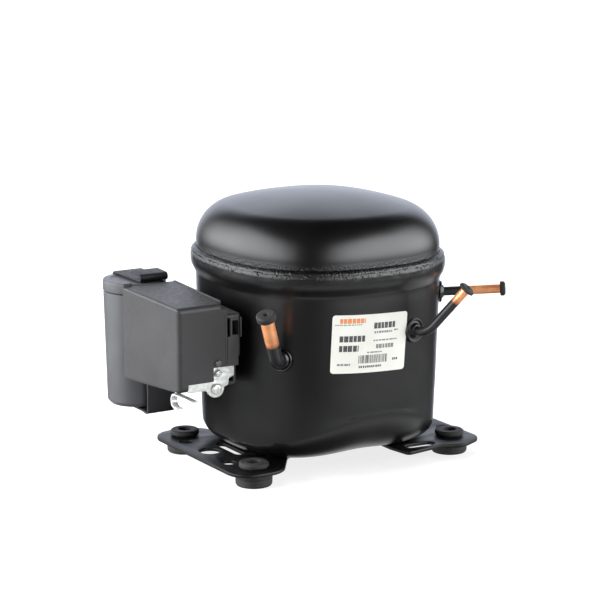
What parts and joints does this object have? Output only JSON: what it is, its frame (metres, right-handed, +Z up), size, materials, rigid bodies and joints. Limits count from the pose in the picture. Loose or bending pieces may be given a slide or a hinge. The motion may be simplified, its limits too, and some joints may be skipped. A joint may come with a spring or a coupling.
{
  "type": "hermetic reciprocating compressor",
  "caption": "Welded black steel compressor shell on rubber feet, with copper stub tubes, terminal box, start capacitor and a spring-hung piston pump inside.",
  "frame": {"origin": "centre of the whole part's footprint box, on the floor under the grommets", "axes": "+X along the long side of the foot pattern with the electrical box on -X, +Y towards the cylinder head side (the start capacitor's side), +Z up"},
  "size_m": [0.2498, 0.2139, 0.1941],
  "materials": {
    "shell_paint": "satin black enamel",
    "rubber": "matte",
    "copper": "drawn copper, bright",
    "box_plastic": "fine moulded grain",
    "label": "coated paper",
    "zinc": "bright zinc plate",
    "steel": "ground",
    "cast_iron": "as cast",
    "lamination": "stacked laminations",
    "winding": "enamelled copper wire",
    "aluminium": "machined",
    "gasket": "fibre sheet",
    "pale_plastic": "moulded"
  },
  "bodies": {
    "shell": {"lower_shell": "shell_paint", "upper_shell": "shell_paint", "weld_bead": "shell_paint", "base_bracket_left": "shell_paint", "base_bracket_right": "shell_paint", "suction_collar": "shell_paint", "process_collar": "shell_paint", "discharge_collar": "shell_paint", "terminal_fence": "shell_paint", "grommet_1": "rubber", "grommet_2": "rubber", "grommet_3": "rubber", "grommet_4": "rubber", "suction_tube": "copper", "process_tube": "copper", "discharge_tube": "copper", "rating_label": "label", "terminal_box_base": "box_plastic", "overload_protector": "box_plastic", "start_capacitor": "box_plastic", "capacitor_lid": "box_plastic", "capacitor_strap": "box_plastic", "start_relay": "pale_plastic", "cord_clamp_plate": "zinc", "cord_clamp_strap": "zinc", "clamp_screw": "zinc", "plate_screw": "zinc", "hermetic_terminal": "steel"},
    "box_cover": {"terminal_box_cover": "box_plastic", "cover_screw": "zinc"},
    "suction_plug_body": {"suction_plug": "rubber"},
    "process_plug_body": {"process_plug": "rubber"},
    "discharge_plug_body": {"discharge_plug": "rubber"},
    "pump": {"cylinder_block": "cast_iron", "stator_core": "lamination", "stator_winding_lower": "winding", "stator_winding_upper": "winding", "valve_plate": "steel", "head_gasket": "gasket", "cylinder_head": "aluminium", "head_bolt_1": "steel", "head_bolt_2": "steel", "head_bolt_3": "steel", "head_bolt_4": "steel", "suction_muffler": "pale_plastic", "discharge_line": "copper", "suspension_spring_1": "steel", "suspension_spring_2": "steel", "suspension_spring_3": "steel", "suspension_spring_4": "steel"},
    "crank": {"crankshaft": "steel", "rotor": "aluminium", "oil_pickup": "steel"},
    "slide_block_body": {"slide_block": "steel"},
    "gallery_plug": {"oil_gallery_plug": "steel"},
    "piston_body": {"piston": "aluminium"},
    "suction_reed_body": {"suction_reed": "steel"},
    "discharge_reed_body": {"discharge_reed": "steel"}
  },
  "joints": [
    {"name": "pump_float", "type": "slide", "parent": "shell", "child": "pump", "axis": [0, 0, 1], "range_m": [-0.0025, 0.0025], "stiffness_N_per_m": 20000, "springref_m": 0.00247, "deforming": ["suspension_spring_1", "suspension_spring_2", "suspension_spring_3", "suspension_spring_4", "discharge_line"]},
    {"name": "crank_spin", "type": "hinge", "parent": "pump", "child": "crank", "pos_m": [0.0129, 0.0147, 0.1], "axis": [0, 0, 1], "continuous": true},
    {"name": "slide_block_swivel", "type": "hinge", "parent": "crank", "child": "slide_block_body", "pos_m": [0.0129, 0.02325, 0.131], "axis": [0, 0, 1], "continuous": true},
    {"name": "gallery_plug_turn", "type": "hinge", "parent": "crank", "child": "gallery_plug", "pos_m": [0.0129, 0.01897, 0.1388], "axis": [0, 0, 1], "continuous": true},
    {"name": "piston_stroke", "type": "hinge", "parent": "gallery_plug", "child": "piston_body", "pos_m": [0.0129, 0.02325, 0.131], "axis": [0, 0, 1], "continuous": true},
    {"name": "suction_reed_flex", "type": "hinge", "parent": "pump", "child": "suction_reed_body", "pos_m": [0.0129, 0.0668, 0.1185], "axis": [1, 0, 0], "range_deg": [0, 2], "stiffness_Nm_per_rad": 0.5},
    {"name": "discharge_reed_flex", "type": "hinge", "parent": "pump", "child": "discharge_reed_body", "pos_m": [0.0129, 0.071, 0.1205], "axis": [-1, 0, 0], "range_deg": [0, 4], "stiffness_Nm_per_rad": 0.5},
    {"name": "cover_pull", "type": "slide", "parent": "shell", "child": "box_cover", "axis": [-1, 0, 0], "range_m": [0, 0.045]},
    {"name": "suction_plug_pull", "type": "slide", "parent": "shell", "child": "suction_plug_body", "axis": [-0.3564, -0.2553, 0.8988], "range_m": [0, 0.015]},
    {"name": "process_plug_pull", "type": "slide", "parent": "shell", "child": "process_plug_body", "axis": [0.4726, -0.4434, 0.7616], "range_m": [0, 0.012]},
    {"name": "discharge_plug_pull", "type": "slide", "parent": "shell", "child": "discharge_plug_body", "axis": [0.8521, -0.521, 0.0489], "range_m": [0, 0.012]}
  ],
  "couplings": [
    {"joint": "slide_block_swivel", "follows": "crank_spin", "ratio": -1},
    {"joint": "gallery_plug_turn", "follows": "crank_spin", "ratio": -2},
    {"joint": "piston_stroke", "follows": "crank_spin", "ratio": 1}
  ]
}
